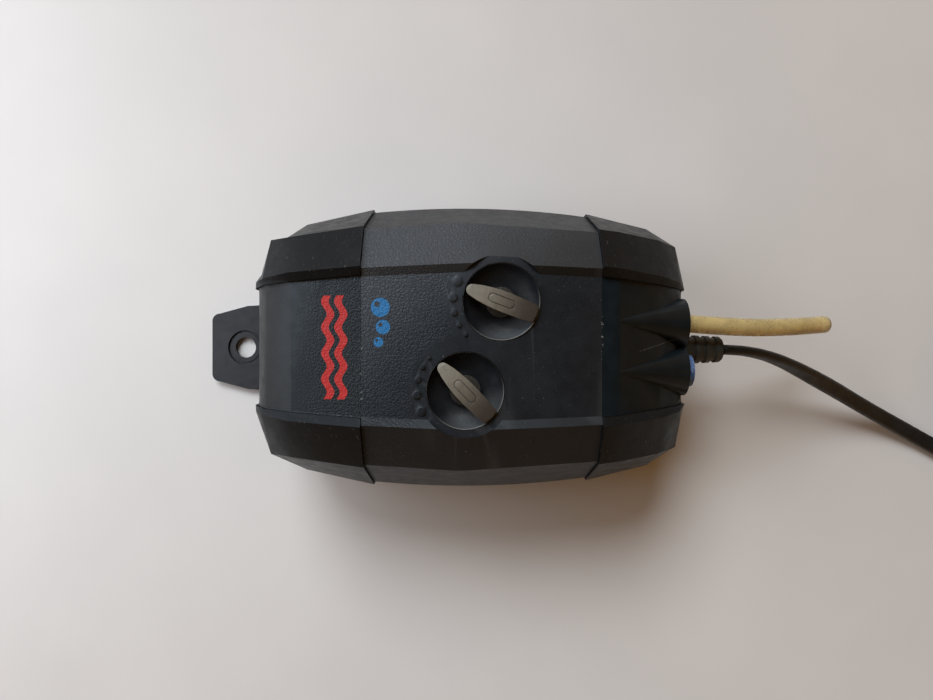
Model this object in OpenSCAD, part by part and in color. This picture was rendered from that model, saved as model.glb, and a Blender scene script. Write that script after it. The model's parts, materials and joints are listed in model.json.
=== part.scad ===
// Two-outlet aquarium air pump: a sectioned casing with rubber corners, two flow dials,
// and a vibrating-arm diaphragm motor inside. Millimetres, +Z up, +X towards the outlets.

/* [Casing] */
// Length of the casing between its two rounded ends
casing_l = 145; // [143:0.5:146]
// Width of the casing at its widest line
casing_w = 97; // [96:0.5:98]
// Height of the crown of the top channel above the surface it stands on
crown_z = 67; // [66.5:0.5:68]
// Wall thickness of the casing sections
wall = 3; // [2.6:0.1:3.2]
// Height of the joint between the base and the upper sections
split_z = 16; // [15:0.5:17]
// Position along the casing of the seam beside the hanging tab
seam_tab_x = -34; // [-36:0.5:-33]
// Position along the casing of the seam beside the outlets
seam_out_x = 40; // [39:0.5:41]
// How far the rubber corners stand out from the casing
bumper_proud = 1; // [0.8:0.1:1.1]
// Height of the rubber feet below the casing
foot_h = 3; // [2.5:0.5:3]

/* [Hanging tab] */
// How far the tab's end lies from the middle of the casing
tab_reach = 102; // [100:0.5:104]
// Thickness of the tab
tab_t = 2.5; // [2.5:0.1:2.8]
// Diameter of the hanging hole
tab_hole_d = 8; // [6:0.5:8]

/* [Dials] */
// Radius of the dish that each pointer turns in
dish_r = 11.9; // [11.5:0.1:12]
// Depth of the dish
dish_depth = 5.5; // [5:0.1:5.8]
// Length of the pointer
pointer_l = 22.6; // [22:0.1:22.8]
// Width of the pointer's rear end
pointer_w = 5.6; // [5:0.1:6]
// Resting direction of dial 1's pointer, from +X
dial_1_deg = 158.9; // [155:0.1:161]
// Resting direction of dial 2's pointer, from +X
dial_2_deg = 134; // [131:0.1:136]
// Radius of the spindle under each pointer
spindle_r = 3; // [2.8:0.1:3]

/* [Outlets] */
// Distance of each outlet from the centre line
outlet_y = 8; // [7.8:0.1:8.2]
// Height of the outlets
outlet_z = 42; // [41.5:0.5:42]
// Outside diameter of the airline tube
airline_d = 6; // [5.8:0.1:6]
// Outside radius of each nozzle
nozzle_r = 2.1; // [2:0.1:2.1]
// How far the blanking cap's end lies from the middle of the casing
cap_reach = 74; // [73.5:0.5:74]

/* [Mains cord] */
// Width of the flat cord
cord_w = 6; // [5.8:0.1:6.2]
// Thickness of the flat cord
cord_t = 3.8; // [3.6:0.1:3.9]
// Height of the cord's exit
cord_z = 33; // [32:0.5:33]
// Distance of the cord's exit from the centre line
cord_y = -0.8; // [-1:0.1:0]
// Turns of the stored coil that lie side by side in each layer
coil_rows = 3; // [3:1:3]
// Layers of the stored coil
coil_layers = 2; // [2:1:2]
// Radius at the middle of the coil's turns
coil_r = 35; // [34:0.5:36]

/* [Motor] */
// Half the distance between the two pole faces
pole_y = 16; // [15.5:0.1:16]
// Air gap between each pole face and its magnet
air_gap = 1.6; // [1.5:0.1:1.6]
// Thickness of each swing arm
arm_t = 2.5; // [2:0.1:2.5]
// Radius of the pivot pins
pivot_r = 1.5; // [1.4:0.1:1.5]
// Height of the motor's middle
motor_z = 25; // [25:0.5:25.5]

/* [Hidden] */

$fn = 48;
eps = 0.01;          // overlap that joins the solids of one piece
gap = 0.1;           // room between fitted pieces that don't move
running = 0.05;      // radial room of a turning shaft
half_l = casing_l / 2;
half_w = casing_w / 2;
body_x = (tab_reach - cap_reach) / 2;   // puts the origin under the middle of the whole box
waist_z = 34;        // height of the casing's widest line
skirt_z = 12;        // height where the sides turn in to the base
mid_z = 35;          // height that the casing's offsets shrink towards
big = 200;

// Tables of [distance along the casing, value]. Straight runs between the rows are the flats.
wide_at = [[-half_l, 16.5], [-71.6, 22.3], [-69.8, 25], [-65.8, 36.2], [-56.6, 42], [seam_tab_x, 47],
  [seam_out_x, 45.5], [60.3, 40.5], [67.8, 35.6], [71.2, 22.5], [half_l, 16.5]];
top_at = [[-half_l, 38], [-71.6, 43], [-69.8, 48], [-65.8, 54.5], [-56.6, 60.3], [seam_tab_x, 64.9],
  [seam_out_x, 64.1], [46, 62], [60.3, 53], [67.8, 46], [71.2, 41], [half_l, 35.4]];
crease_y_at = [[-half_l, 15.3], [-71.6, 21.2], [-69.8, 23.8], [-65.8, 34.8], [-56.6, 34.9], [-34, 37.2],
  [-4, 38.9], [40, 36.2], [60.3, 34.4], [67.8, 33], [71.2, 21.4], [half_l, 15.3]];
crease_z_at = [[-half_l, 36.5], [-71.6, 40], [-69.8, 43], [-65.8, 46], [-56.6, 53], [-34, 58.5],
  [0, 60], [40, 58], [46, 56.5], [60.3, 48.5], [67.8, 42.5], [71.2, 39], [half_l, 34.8]];
channel_at = [[-half_l, 13.8], [-71.6, 18.4], [-69.8, 19.2], [-34, 21.4], [0, 22.7], [40, 21.3],
  [67.8, 19.4], [71.2, 18.2], [half_l, 13.8]];
step_at = [[-half_l, 0.1], [-69.8, 0.6], [-56, 1], [56, 1], [69, 0.6], [half_l, 0.1]];
foot_at = [[-half_l, 9], [-71.6, 6.5], [-69.8, 4.5], [-65.8, 3], [67.8, 3], [71.2, 6.5], [half_l, 9]];
middle_steps = 18;   // sections that the curved centre is made of
middle_step = (seam_out_x - seam_tab_x) / middle_steps;
stations = concat([-half_l, -71.6, -69.8, -65.8, -56.6, -46],
  [for (k = [0 : middle_steps]) seam_tab_x + k * middle_step], [46, 60.3, 67.8, 71.2, half_l]);
bow = 0.0016;        // how fast the sides bow in from the widest place, per mm squared
sag = 0.0018;        // how fast the crown falls from the middle, per mm squared
widest_x = -3;

function middle(x) = x > seam_tab_x && x < seam_out_x;
function width_at(x) = middle(x) ? half_w - bow * pow(x - widest_x, 2) : lookup(x, wide_at);
function channel_z(x) = middle(x) ? crown_z - sag * x * x : lookup(x, top_at);
// Half of the cross-section at x, from the channel's edge out and down to the base
function half_section(x) = let (c = lookup(x, channel_at), s = lookup(x, step_at),
    z = channel_z(x), w = width_at(x), f = lookup(x, foot_at))
  [[c, z], [c + 2.5 * s, z + 1.7 * s], [lookup(x, crease_y_at), lookup(x, crease_z_at)],
   [w, waist_z], [w - 0.8, max(skirt_z, f + 3)], [w - 3.5, f]];
function section(x) = let (h = half_section(x), n = len(h))
  [for (i = [0 : 2 * n - 1]) i < n ? h[i] : [-h[2 * n - 1 - i][0], h[2 * n - 1 - i][1]]];

// Faces of a closed skin through rings of n points each
function skin_faces(rings, n) = concat(
  [[for (k = [0 : n - 1]) k]],
  [for (i = [0 : rings - 2], k = [0 : n - 1]) [i * n + k, (i + 1) * n + k, i * n + (k + 1) % n]],
  [for (i = [0 : rings - 2], k = [0 : n - 1])
    [i * n + (k + 1) % n, (i + 1) * n + k, (i + 1) * n + (k + 1) % n]],
  [[for (k = [0 : n - 1]) (rings - 1) * n + n - 1 - k]]);

function turned(face) = [for (j = [len(face) - 1 : -1 : 0]) face[j]];
// The whole outer form of the casing, grown by o all round
module form(o) {
  taller = 1 + o / (crown_z - mid_z + 1);
  pts = [for (x = stations) for (p = section(x))
    [x * (1 + o / half_l), p[0] * (1 + o / half_w), mid_z + (p[1] - mid_z) * taller]];
  polyhedron(points = pts, faces = [for (f = skin_faces(len(stations), 12)) turned(f)]);
}

module in_row() { translate([body_x, 0, 0]) children(); }
module slab(x0, x1, z0, z1, y = big) { translate([x0, -y / 2, z0]) cube([x1 - x0, y, z1 - z0]); }
module tube(r_out, r_in, h) {
  difference() {
    cylinder(r = r_out, h = h);
    translate([0, 0, -1]) cylinder(r = r_in, h = h + 2);
  }
}
module along_x(at) { translate(at) rotate([0, 90, 0]) children(); }
module along_y(at, side) { translate(at) rotate([-90 * side, 0, 0]) children(); }

// A cord or hose swept along its route's points
function unit(v) = v / norm(v);
function heading(p, i) = unit(p[min(i + 1, len(p) - 1)] - p[max(i - 1, 0)]);
function ring(c, t, half_wide, half_thick, twist, n, up) =
  let (s = unit(cross(up, t)), u = cross(t, s),
       a = s * cos(twist) + u * sin(twist), b = u * cos(twist) - s * sin(twist))
  [for (k = [0 : n - 1]) c + a * half_wide * cos(360 * k / n) + b * half_thick * sin(360 * k / n)];
module sweep(route, wide, thick, n = 8, twist = [], up = [0, 0, 1]) {
  pts = [for (i = [0 : len(route) - 1])
    for (p = ring(route[i], heading(route, i), wide / 2, thick / 2, i < len(twist) ? twist[i] : 0, n, up)) p];
  polyhedron(points = pts, faces = skin_faces(len(route), n));
}

/* Casing */
// Plan of one rubber corner; end is -1 by the tab and 1 by the outlets, side is 1 or -1 in y
module bumper_plan(end, side, grow = 0) {
  seam = end < 0 ? seam_tab_x + grow : seam_out_x - grow;
  inner = end < 0 ? 21.9 : 21.6;
  tip = end < 0 ? 19.2 : 18.9;
  polygon([[seam, side * (inner - grow)], [end * 80, side * (tip - grow - 0.3)],
    [end * 80, side * 60], [seam, side * 60]]);
}
module bumper_pocket(end, side) {
  difference() {
    translate([0, 0, -1]) linear_extrude(90) bumper_plan(end, side, gap);
    form(-1.6);
  }
}
module corner_bumper(end, side) in_row() color([0.05, 0.05, 0.055]) {
  difference() {
    intersection() {
      form(bumper_proud);
      linear_extrude(90) bumper_plan(end, side);
    }
    form(-1.6 + gap);
  }
  foot(end, side);
}
foot_plan = [[16, 26], [52, 26], [58, 30], [52, 37], [20, 40], [16, 38]];
foot_from = 14;      // where the foot's plan starts, and what its length shrinks towards
module foot(end, side) {
  seam = end < 0 ? seam_tab_x : seam_out_x;
  reach = end < 0 ? 0.8 : 0.74;
  translate([seam - end * foot_from, 0, 0]) linear_extrude(foot_h - 0.4)
    polygon([for (p = foot_plan) [end * (foot_from + (p[0] - foot_from) * reach), side * p[1]]]);
}

dial_xy = [[8.9, 13.7], [-2.1, -13.4]];
module dial_at(i) { translate(dial_xy[i - 1]) children(); }
land_r = 14.3;       // radius of the level ground round each dial
dot_r = [1.6, 1.4, 1.05, 0.8, 0.6];
dot_ring_r = 14.75;
dot_h = 0.55;
// Turn of a dial's dot k from +X; the dots of dial 2 mirror those of dial 1
function dot_deg(i, k) = i == 1 ? 155 + 21.4 * k - 1.1 * k * k : 204.8 - 21.2 * k + 1.1 * k * k;
module size_dots(i) {
  for (k = [0 : 4])
    let (p = dial_xy[i - 1] + dot_ring_r * [cos(dot_deg(i, k)), sin(dot_deg(i, k))])
      translate([p[0], p[1], channel_z(p[0])]) {
        translate([0, 0, -2]) cylinder(r = dot_r[k], h = 2 + dot_h / 2, $fn = 24);
        translate([0, 0, dot_h / 2 - eps])
          cylinder(r1 = dot_r[k], r2 = dot_r[k] * 0.7, h = dot_h / 2, $fn = 24);
      }
}
// All that lies above the top channel's surface, carried on sideways
module above_channel() {
  rotate([90, 0, 0]) linear_extrude(big, center = true) polygon(concat(
    [for (x = stations) if (abs(x) <= seam_out_x) [x, channel_z(x)]], [[seam_out_x, 90], [seam_tab_x, 90]]));
}
post_at = [[-30, 34], [34, 31], [-63, 13], [60, 22]];
module posts(x0, x1) {
  intersection() {
    for (p = post_at, side = [1, -1]) if (p[0] > x0 && p[0] < x1)
      translate([p[0], side * p[1], split_z]) tube(3.4, 1.25, 60);
    form(-wall + 0.4);
  }
}
module section_shell(x0, x1) {
  difference() {
    intersection() {
      form(0);
      slab(x0, x1, split_z, 90);
    }
    form(-wall);
    for (end = [-1, 1], side = [1, -1]) bumper_pocket(end, side);
  }
  posts(x0, x1);
}
module centre_cover() in_row() color([0.22, 0.23, 0.24]) {
  difference() {
    union() {
      difference() {
        union() {
          section_shell(seam_tab_x + gap / 2, seam_out_x - gap / 2);
          intersection() {
            for (i = [1, 2]) dial_at(i) translate([0, 0, 61.5]) cylinder(r = land_r, h = 20);
            form(-0.2);
          }
        }
        intersection() {
          for (i = [1, 2]) dial_at(i) translate([0, 0, 60]) cylinder(r = land_r, h = 20);
          above_channel();
        }
      }
      for (i = [1, 2]) size_dots(i);
    }
    for (i = [1, 2]) dial_at(i) translate([0, 0, 40]) cylinder(r = dish_r + gap, h = 40);
  }
}
module tab_end_cover() in_row() color([0.25, 0.26, 0.27]) section_shell(-90, seam_tab_x - gap / 2);
fairing_x = 71.6;
fairing_r = 8.3;
fairing_tip = [46, 61.4];
fairing_in_x = 57.5;    // inner face of the solid part of each fairing
socket_r = 5.7;
module fairing(side) {
  intersection() {
    hull() {
      along_x([fairing_x - 1, side * outlet_y, outlet_z]) cylinder(r = fairing_r, h = 1, $fn = 32);
      translate([fairing_tip[0], side * outlet_y, fairing_tip[1]]) sphere(r = 0.7, $fn = 16);
    }
    union() {
      slab(fairing_in_x, 90, 20, 60);
      difference() {
        slab(40, 60, 40, 80);
        form(-wall);
      }
    }
  }
}
relief_wall_x = half_l - wall;
module outlet_end_cover() in_row() color([0.17, 0.18, 0.2]) {
  difference() {
    union() {
      section_shell(seam_out_x + gap / 2, 90);
      for (side = [1, -1]) fairing(side);
    }
    for (side = [1, -1]) along_x([fairing_in_x, side * outlet_y, outlet_z]) {
      translate([0, 0, -1]) cylinder(r = nozzle_r + gap, h = 10);
      translate([0, 0, 4.5]) cylinder(r = socket_r, h = 20);
    }
    along_x([55, cord_y, cord_z]) {
      cylinder(r = 4.1, h = 30);
      cylinder(r = 5.8, h = relief_wall_x - 55);
    }
  }
}
filter_x = 25.5;
module base_shell() in_row() color([0.2, 0.21, 0.24]) {
  difference() {
    union() {
      difference() {
        intersection() {
          form(0);
          slab(-90, 90, -1, split_z - gap);
        }
        form(-wall);
        for (end = [-1, 1], side = [1, -1]) bumper_pocket(end, side);
      }
      hanging_tab();
      intersection() {
        for (p = post_at, side = [1, -1])
          translate([p[0], side * p[1], 3]) cylinder(r = 4.6, h = split_z - gap - 3);
        form(-wall + 0.4);
      }
      translate([filter_x - 2, -15, 3.5]) cube([29, 30, 8.5]);
    }
    for (p = post_at, side = [1, -1]) translate([p[0], side * p[1], 0]) {
      cylinder(r = 1.9, h = 20);
      cylinder(r = 3.7, h = 9);
    }
    translate([filter_x, -13, 0]) cube([25, 26, 10]);
    for (k = [0 : 4]) translate([filter_x + 3 + 4.5 * k, -8, 9]) cube([2, 16, 4]);
  }
}
tab_low = 0.3;       // height of the tab's underside
tab_dish_depth = 0.9;
tab_collar_r = 5.8;  // the low collar round the hanging hole
tab_dish_r = 6.8;
tab_hole_x = 13 - tab_reach;
module hanging_tab() {
  difference() {
    translate([0, 0, tab_low]) linear_extrude(tab_t) difference() {
      union() {
        polygon([[-62, 16.5], [-62, -16.5], [-66, -17.5], [-88, -16.4], [3 - tab_reach, -13.4],
          [-tab_reach, -10.6], [-tab_reach, 10.6], [3 - tab_reach, 13.4], [-88, 16.4], [-66, 17.5]]);
        for (side = [1, -1]) translate([3 - tab_reach, side * 10.4]) circle(r = 3);
      }
      translate([tab_hole_x, 0]) circle(d = tab_hole_d);
    }
    translate([tab_hole_x, 0, tab_low + tab_t - tab_dish_depth]) cylinder(r = tab_dish_r, h = 2);
  }
  translate([tab_hole_x, 0, tab_low]) tube(tab_collar_r, tab_hole_d / 2, tab_t - 0.6);
  slab(-68, -62, tab_low, foot_h + 2, 33);
}
module filter_pad() in_row() color([0.85, 0.85, 0.8])
  translate([filter_x + 0.4, -12.6, 4.9]) cube([24.2, 25.2, 4.9]);
module filter_cover() in_row() color([0.2, 0.21, 0.24]) difference() {
  translate([filter_x + gap, -13 + gap, 3]) cube([25 - 2 * gap, 26 - 2 * gap, 1.8]);
  for (k = [0 : 5]) translate([filter_x + 2.5 + 3.6 * k, -9, 0]) cube([1.8, 18, 9]);
}
module case_screws() in_row() color([0.6, 0.6, 0.62])
  for (p = post_at, side = [1, -1]) translate([p[0], side * p[1], 0]) {
    difference() {
      translate([0, 0, 6.6]) cylinder(r = 3.2, h = 2.4);
      translate([-2, -0.4, 6]) cube([4, 0.8, 1.6]);
      translate([-0.4, -2, 6]) cube([0.8, 4, 1.6]);
    }
    translate([0, 0, 8.9]) cylinder(r = 1.2, h = 17);
  }

/* Dials */
dish_floor_z = crown_z - dish_depth;
// The dish's surface is a quarter ellipse from its floor up to its rim
function dish_z(r) = dish_floor_z + dish_depth * (1 - sqrt(max(0, 1 - pow(r / (dish_r - 0.3), 2))));
module dial_cup(i) in_row() color([0.1, 0.105, 0.11]) dial_at(i) rotate_extrude($fn = 72) {
  steps = 10;
  polygon(concat(
    [[spindle_r + running, dish_floor_z - 6], [spindle_r + running, dish_z(0) + 0.02]],
    [for (k = [3 : steps]) let (r = (dish_r - 0.3) * sin(90 * k / steps)) [r, dish_z(r)]],
    [[dish_r, crown_z], [dish_r, dish_floor_z + 0.6], [dish_r - 4, dish_floor_z - 1.6],
     [spindle_r + 2, dish_floor_z - 1.6], [spindle_r + 2, dish_floor_z - 6]]));
}
knob_top_z = crown_z + 2.6;
knob_low_z = crown_z - 1.2;
hub_r = 4.7;
hub_low_z = dish_floor_z + 0.9;
hub_h = 1.8;
module stadium(l, w) {
  for (s = [1, -1]) translate([s * (l - w) / 2, 0]) circle(d = w, $fn = 24);
  square([l - w, w], center = true);
}
// Half the pointer's width, from its tip to its rear end, which the dish's circle cuts
tip_r = 1.7;
pointer_half = [[pointer_l / 2 - 1.3, tip_r - 0.04], [7.5, 2.3], [4.5, 2.75], [1.5, 3.05], [-2, 3.1],
  [-7, 2.95], [-13, pointer_w / 2 - 0.3]];
// Pointer along +X
module control_knob(i) in_row() color([0.42, 0.4, 0.37]) dial_at(i) rotate(i == 1 ? dial_1_deg : dial_2_deg)
  difference() {
    union() {
      intersection() {
        translate([0, 0, knob_low_z]) linear_extrude(6) union() {
          polygon(concat(pointer_half, [for (p = turned(pointer_half)) [p[0], -p[1]]]));
          translate([pointer_l / 2 - tip_r, 0]) circle(r = tip_r, $fn = 32);
        }
        cylinder(r = pointer_l / 2, h = 90);
        translate([0, 20, knob_top_z - 50]) rotate([90, 0, 0]) cylinder(r = 50, h = 40, $fn = 180);
      }
      translate([0, 0, hub_low_z]) cylinder(r = hub_r, h = hub_h);
      translate([0, 0, hub_low_z]) cylinder(r = 2.8, h = knob_low_z - hub_low_z + 0.5);
    }
    translate([0, 0, knob_top_z - 0.35]) linear_extrude(2) difference() {
      stadium(8.6, 2.9);
      stadium(7.9, 2.2);
    }
    translate([0, 0, dish_floor_z]) cylinder(r = 1.6, h = 4.5);
  }
spindle_top_z = dish_floor_z + 0.6;
spindle_low_z = 44.5;
seal_z = 53;
module valve_spindle(i) in_row() color([0.75, 0.75, 0.72]) dial_at(i) difference() {
  union() {
    translate([0, 0, spindle_low_z]) cylinder(r = spindle_r, h = spindle_top_z - spindle_low_z - 0.1);
    translate([0, 0, spindle_top_z - 1]) cylinder(r = 1.55, h = 4);
  }
  translate([0, 0, seal_z - 0.7]) tube(spindle_r + 1, 1.75, 1.4);
  translate([-9, 0, 48]) rotate([0, 90, 0]) cylinder(r = 0.9, h = 18);
}
module spindle_seal(i) in_row() color([0.1, 0.1, 0.1]) dial_at(i)
  translate([0, 0, seal_z]) rotate_extrude() translate([2.4, 0]) circle(r = 0.58, $fn = 20);
reg_low_z = 42;
reg_top_z = dish_floor_z - 6.1;
barb_r = 2;
module barb(h) {
  cylinder(r = barb_r - 0.4, h = h);
  translate([0, 0, h - 3]) cylinder(r1 = barb_r, r2 = barb_r - 0.5, h = 3);
}
module regulator_body(i) in_row() color([0.85, 0.85, 0.82]) dial_at(i) difference() {
  union() {
    translate([-6.5, -6.5, reg_low_z]) cube([13, 13, reg_top_z - reg_low_z]);
    along_x([6, 0, 48]) barb(7);
    translate([-6, 0, 48]) rotate([0, -90, 0]) barb(7);
  }
  translate([0, 0, spindle_low_z - 0.3]) cylinder(r = spindle_r + running, h = 30);
  translate([-20, 0, 48]) rotate([0, 90, 0]) cylinder(r = 0.9, h = 40);
}

/* Outlets and cord */
module outlet_nozzle(i) in_row() color([0.12, 0.12, 0.13]) {
  difference() {
    along_x([fairing_in_x - 1.9, i == 1 ? outlet_y : -outlet_y, outlet_z]) {
      rotate([180, 0, 0]) barb(7);
      cylinder(r = 4.2, h = 1.8);
      cylinder(r = nozzle_r, h = 13.9);
    }
    along_x([40, i == 1 ? outlet_y : -outlet_y, outlet_z]) cylinder(r = 1.1, h = 40);
  }
}
module blanking_cap() in_row() color([0.2, 0.38, 0.68]) difference() {
  union() {
    along_x([63, -outlet_y, outlet_z]) cylinder(r = 4.4, h = 9);
    along_x([69, -outlet_y, outlet_z]) cylinder(r = 5.3, h = cap_reach - 69);
  }
  along_x([60, -outlet_y, outlet_z]) cylinder(r = nozzle_r + running, h = 10);
}
airline_route = [[63, 8, 42], [67.7, 8, 42], [72.4, 7.9, 42], [77.1, 7.6, 41.9], [81.8, 7.3, 41.6],
  [86.5, 7, 41.2], [91.2, 6.8, 40.6], [95.8, 6.7, 39.7], [100.4, 6.7, 38.6], [104.9, 6.8, 37.3],
  [109.4, 7, 35.9], [113.8, 7.2, 34.2], [118.1, 7.5, 32.3], [122.3, 7.8, 30.2], [126.5, 8.1, 28]];
module airline_tube() in_row() color([0.78, 0.7, 0.45]) sweep(airline_route, airline_d, airline_d, 10);
module strain_relief() in_row() color([0.06, 0.06, 0.06]) along_x([relief_wall_x - 2, cord_y, cord_z]) {
  cylinder(r = 5.4, h = 1.9);
  cylinder(r = 4, h = 6);
  translate([0, 0, 5.1]) cylinder(r1 = 4.8, r2 = 3.9, h = 14.8);
  for (k = [0 : 3]) translate([0, 0, 6.6 + 3.6 * k])
    cylinder(r1 = 5.2 - 0.2 * k, r2 = 5.1 - 0.2 * k, h = 1.8);
}
mains_route = [[87.4, -0.8, 33], [96.3, -1.4, 32.2], [104.8, -3, 29.7], [112.8, -5.5, 26.4],
  [120.4, -8.5, 22.8], [127.9, -11.7, 19], [135.4, -15, 15.3], [142.9, -18.5, 11.8], [150.4, -22.2, 8.6],
  [158.1, -26, 6], [165.9, -29.9, 4], [173.8, -34, 2.6], [181.7, -38.3, 2], [189.5, -42.6, 1.9],
  [197.3, -47, 1.9], [205.2, -51.4, 2.1], [213, -55.8, 2.5]];
mains_twist = [90, 89, 82, 68, 50, 32, 16, 5, 0, 0, 0, 0, 0, 0, 0, 0, 0];
module mains_cord() in_row() color([0.06, 0.06, 0.06])
  sweep(mains_route, cord_w, cord_t, 10, mains_twist);
coil_at = [233, -20, 0.6];
coil_pitch = 6.2;
coil_h = coil_layers * (cord_t + 0.1);
module cord_coil() in_row() color([0.06, 0.06, 0.06]) translate(coil_at) rotate_extrude($fn = 96)
  translate([coil_r - coil_rows * coil_pitch / 2, 0]) square([coil_rows * coil_pitch, coil_h]);
tail_route = [[274.2, -20, 6.5], [274.2, -13, 6.5], [274.2, -7, 6.6], [274.2, 0, 6.8], [274.2, 6, 7]];
module cord_tail() in_row() color([0.06, 0.06, 0.06]) sweep(tail_route, cord_w, cord_t, 10);
module coil_tie() in_row() color([0.12, 0.12, 0.12]) translate(coil_at) rotate(100)
  translate([coil_r - 10, -1.5, -0.6]) difference() {
    cube([20, 3, coil_h + 1.3]);
    translate([0.6, -1, 0.58]) cube([18.8, 5, coil_h + 0.04]);
  }
plug_at = [274.2, 6, 7];
module mains_plug() in_row() color([0.06, 0.06, 0.06]) translate(plug_at) rotate([-90, 0, 0]) {
  cylinder(r1 = 3.6, r2 = 4.6, h = 16);
  translate([0, 0, 15.9]) hull() {
    for (s = [1, -1]) translate([3.4 * s, 0, 0]) cylinder(r = 4.6, h = 1, $fn = 32);
    for (s = [1, -1]) translate([9.2 * s, 0, 19]) cylinder(r = 6.6, h = 11, $fn = 32);
  }
}
module plug_pins() in_row() color([0.75, 0.75, 0.76]) translate(plug_at) rotate([-90, 0, 0])
  for (s = [1, -1]) translate([9.3 * s, 0, 46 - eps]) {
    cylinder(r = 2, h = 17.5);
    translate([0, 0, 17.5]) cylinder(r1 = 2, r2 = 1.2, h = 1.5);
  }

/* Motor */
core_x = -44;
arm_y = pole_y + air_gap + 3.2;      // inner face of each swing arm
pivot_x = 18;
head_x = -10;
clamp_y = arm_y + arm_t;             // outer face of each swing arm
head_y = 31;
frame_z = 8;
mount_at = [[-52, 8], [12, 12]];
module motor_frame() in_row() color([0.6, 0.6, 0.62]) difference() {
  union() {
    translate([-58, -29, frame_z]) cube([80.5, 58, 2]);
    for (side = [1, -1]) {
      translate([-24, side > 0 ? 31 : -33, frame_z]) cube([28, 2, 2.5]);
      translate([-24, side > 0 ? 29 : -33, frame_z]) cube([28, 4, 2]);
      translate([pivot_x, side * (arm_y + arm_t / 2), frame_z]) cylinder(r = 4, h = 6);
      translate([core_x - 12, side > 0 ? 12 : -15.6, frame_z]) cube([24, 3.6, motor_z - 8.05 - frame_z]);
    }
  }
  for (side = [1, -1]) {
    translate([pivot_x, side * (arm_y + arm_t / 2), 0]) cylinder(r = pivot_r, h = 30);
    for (m = mount_at) translate([m[0], side * m[1], 0]) cylinder(r = 2.1, h = 20);
  }
}
module rubber_mounts() in_row() color([0.08, 0.08, 0.08])
  for (m = mount_at, side = [1, -1]) translate([m[0], side * m[1], 0]) {
    translate([0, 0, 6]) cylinder(r = 4, h = frame_z - 6 - 0.05);
    translate([0, 0, 7]) cylinder(r = 2, h = 3.5);
    translate([0, 0, frame_z + 2.05]) cylinder(r = 3.2, h = 0.85);
  }
module magnet_core() in_row() color([0.45, 0.45, 0.47])
  translate([core_x, 0, motor_z - 8]) linear_extrude(16) {
  square([12, 2 * pole_y - 2], center = true);
  for (side = [1, -1]) translate([-13, side > 0 ? pole_y - 4 : -pole_y]) square([26, 4]);
}
module bobbin_plate(w, h, y0, t) { translate([core_x - w / 2, y0, motor_z - h / 2]) cube([w, t, h]); }
module coil_bobbin() in_row() color([0.9, 0.88, 0.8]) difference() {
  union() {
    bobbin_plate(15, 19, -11.8, 23.6);
    for (y0 = [-11.8, 10.5]) bobbin_plate(27, 28, y0, 1.3);
  }
  bobbin_plate(12.2, 16.2, -20, 40);
}
module coil_winding() in_row() color([0.65, 0.3, 0.12]) difference() {
  intersection() {
    bobbin_plate(25, 27, -10.4, 20.8);
    translate([core_x, 11, motor_z]) rotate([90, 0, 0]) cylinder(r = 16.5, h = 22);
  }
  bobbin_plate(15.2, 19.2, -20, 40);
}
module swing_arm(side) in_row() color([0.7, 0.7, 0.72]) difference() {
  union() {
    translate([core_x - 11, side > 0 ? arm_y : -arm_y - arm_t, motor_z - 6])
      cube([pivot_x - core_x + 11, arm_t, 12]);
    translate([pivot_x, side * (arm_y + arm_t / 2), motor_z - 8]) cylinder(r = 3.6, h = 16);
  }
  translate([pivot_x, side * (arm_y + arm_t / 2), 0]) cylinder(r = pivot_r + running, h = 60);
  along_y([head_x, 0, motor_z], side) cylinder(r = 1.6, h = 40);
}
module arm_magnet(side) in_row() color([0.25, 0.25, 0.27])
  for (x = [core_x - 11, core_x + 1]) translate([x, side > 0 ? pole_y + air_gap : -arm_y, motor_z - 7.5])
    cube([10, arm_y - pole_y - air_gap, 15]);
module pivot_pins() in_row() color([0.75, 0.75, 0.77]) for (side = [1, -1])
  translate([pivot_x, side * (arm_y + arm_t / 2), frame_z + 0.5]) cylinder(r = pivot_r, h = 28);
module diaphragm_clamp(side) in_row() color([0.7, 0.7, 0.72]) {
  along_y([head_x, side * (arm_y - 1.8), motor_z], side) cylinder(r = 2.9, h = 1.8);
  along_y([head_x, side * (arm_y - 0.1), motor_z], side) cylinder(r = 1.5, h = arm_t + 4.2);
  along_y([head_x, side * clamp_y, motor_z], side) cylinder(r = 6, h = 1.4);
  along_y([head_x, side * (clamp_y + 3), motor_z], side) cylinder(r = 5, h = 1.1);
}
module diaphragm(side) in_row() color([0.12, 0.12, 0.12]) along_y([head_x, 0, motor_z], side)
  rotate_extrude($fn = 60) polygon([[1.6, clamp_y + 1.5], [6.4, clamp_y + 1.5], [10.4, head_y - 1.5],
    [14, head_y - 1.5],
    [14, head_y - 0.05], [9.6, head_y - 0.05], [5.6, clamp_y + 2.9], [1.6, clamp_y + 2.9]]);
module pump_head(side) in_row() color([0.8, 0.8, 0.78]) difference() {
  union() {
    translate([head_x - 15, side > 0 ? head_y : -head_y - 6, motor_z - 14]) cube([30, 6, 29]);
    translate([head_x, side * (head_y + 3), motor_z + 14.9]) barb(7);
  }
  along_y([head_x, side * (head_y - 1), motor_z], side) cylinder(r = 10, h = 3.4);
  for (s = [-5, 5]) along_y([head_x + s, 0, motor_z], side) cylinder(r = 1.2, h = 60);
  translate([head_x, side * (head_y + 3), motor_z + 12]) cylinder(r = 1, h = 20);
  for (x = [-13, 13], z = [-11, 11]) along_y([head_x + x, 0, motor_z + z], side) cylinder(r = 0.95, h = 60);
}
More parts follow.
